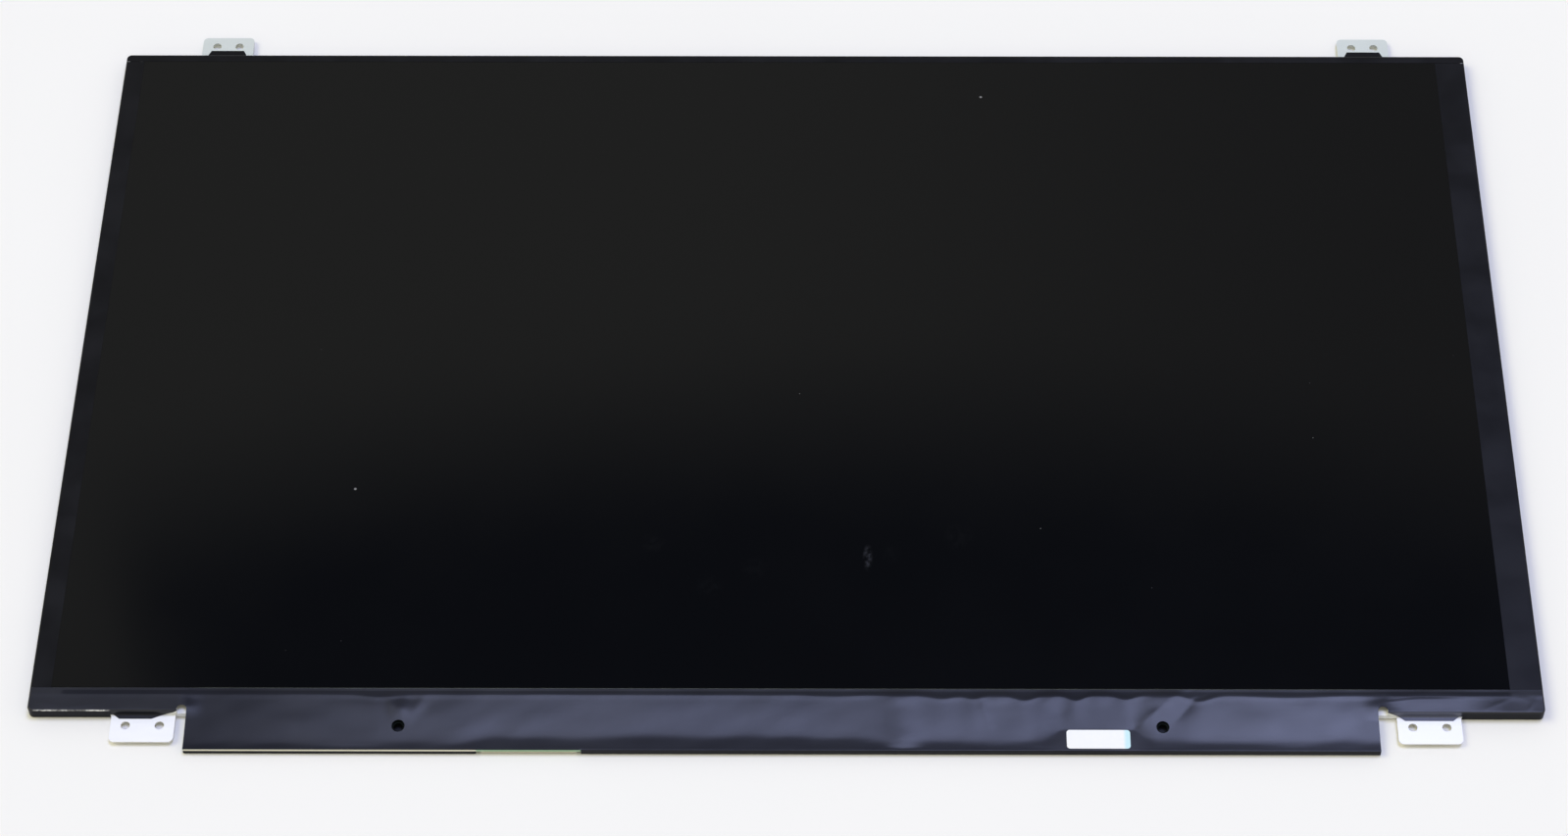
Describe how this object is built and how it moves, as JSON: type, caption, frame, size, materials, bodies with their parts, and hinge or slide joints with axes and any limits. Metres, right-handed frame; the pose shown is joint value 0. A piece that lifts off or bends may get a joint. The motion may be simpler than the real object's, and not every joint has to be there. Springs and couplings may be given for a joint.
{
  "type": "laptop screen panel",
  "caption": "Bare slim laptop LCD module: thin dark screen in taped edges, folded metal back with screw ears, control board under black film along the lower edge.",
  "frame": {"origin": "under the middle of the whole outline, ears and board included, on the surface the back lies on", "axes": "+X to the right of the picture, +Y to its top, +Z out of the screen's face"},
  "size_m": [0.3594, 0.2238, 0.0032],
  "materials": {
    "screen_face": "hard coat, semi-gloss",
    "cell_glass": "polished",
    "clear_sheet": "clear moulded",
    "white_sheet": "satin film",
    "black_tape": "satin tape",
    "black_film": "satin film with a blue sheen",
    "bare_metal": "bare, rolled",
    "white_frame": "moulded",
    "board": "green solder mask",
    "chip": "moulded",
    "ferrite": "pressed",
    "capacitor": "fired",
    "amber_film": "polyimide film",
    "white_flex": "white coated flex",
    "led_body": "moulded",
    "socket_plastic": "moulded",
    "socket_shell": "plated",
    "socket_contact": "gold plated",
    "label": "coated"
  },
  "bodies": {
    "root": {"front_polarizer": "screen_face", "colour_filter_glass": "cell_glass", "array_glass": "cell_glass", "rear_polarizer": "screen_face", "rim_tape": "black_tape", "upper_prism_sheet": "white_sheet", "lower_prism_sheet": "white_sheet", "diffuser_sheet": "white_sheet", "light_guide": "clear_sheet", "reflector_sheet": "white_sheet", "led_flex": "white_flex", "leds": "led_body", "mould_frame": "white_frame", "rear_chassis": "bare_metal", "left_edge_tape": "black_tape", "right_edge_tape": "black_tape", "top_edge_tape": "black_tape", "board_cover_film": "black_film", "board_rear_film": "black_film", "board_label": "label", "control_board": "board", "source_films": "amber_film", "source_driver_chips": "chip", "gate_driver_chips": "chip", "timing_controller": "chip", "panel_power_chip": "chip", "backlight_driver": "chip", "memory_chip": "chip", "power_inductors": "ferrite", "board_capacitors": "capacitor", "signal_connector_housing": "socket_plastic", "signal_connector_shell": "socket_shell", "signal_connector_contacts": "socket_contact", "backlight_connector": "socket_plastic"}
  },
  "joints": []
}
